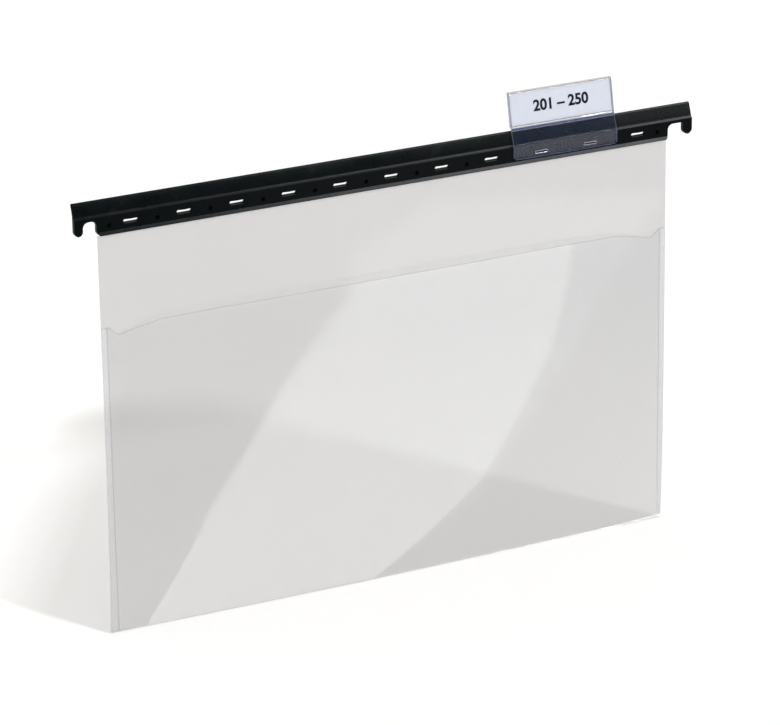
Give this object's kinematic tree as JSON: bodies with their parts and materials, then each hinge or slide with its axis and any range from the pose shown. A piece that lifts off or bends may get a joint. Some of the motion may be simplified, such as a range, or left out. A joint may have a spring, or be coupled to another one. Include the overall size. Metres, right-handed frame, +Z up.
{
  "type": "hanging file pocket",
  "caption": "A4 hanging file pocket: black hooked hanger rail over a clear welded film pocket, with a clip-on index tab and its label card.",
  "frame": {"origin": "middle of the hanging line, in the film's plane, at the height of both hooks' notch seats", "axes": "+X along the hanger rail towards the index tab's end, +Y towards the back, +Z up"},
  "size_m": [0.3473, 0.0129, 0.2489],
  "materials": {
    "rail_black": "satin moulded plastic",
    "clear_film": "smooth translucent film",
    "clear_tab": "glossy clear plastic",
    "label_paper": "matt coated paper"
  },
  "bodies": {
    "pocket": {"rail_front": "rail_black", "rail_back": "rail_black", "pocket_film": "clear_film"},
    "tab": {"tab_holder": "clear_tab"},
    "label": {"label_card": "label_paper"}
  },
  "joints": [
    {"name": "tab_pull", "type": "slide", "parent": "pocket", "child": "tab", "axis": [0, -1, 0], "range_m": [0, 0.03]},
    {"name": "label_slide", "type": "slide", "parent": "tab", "child": "label", "axis": [1, 0, 0], "range_m": [-0.06, 0.06]}
  ]
}
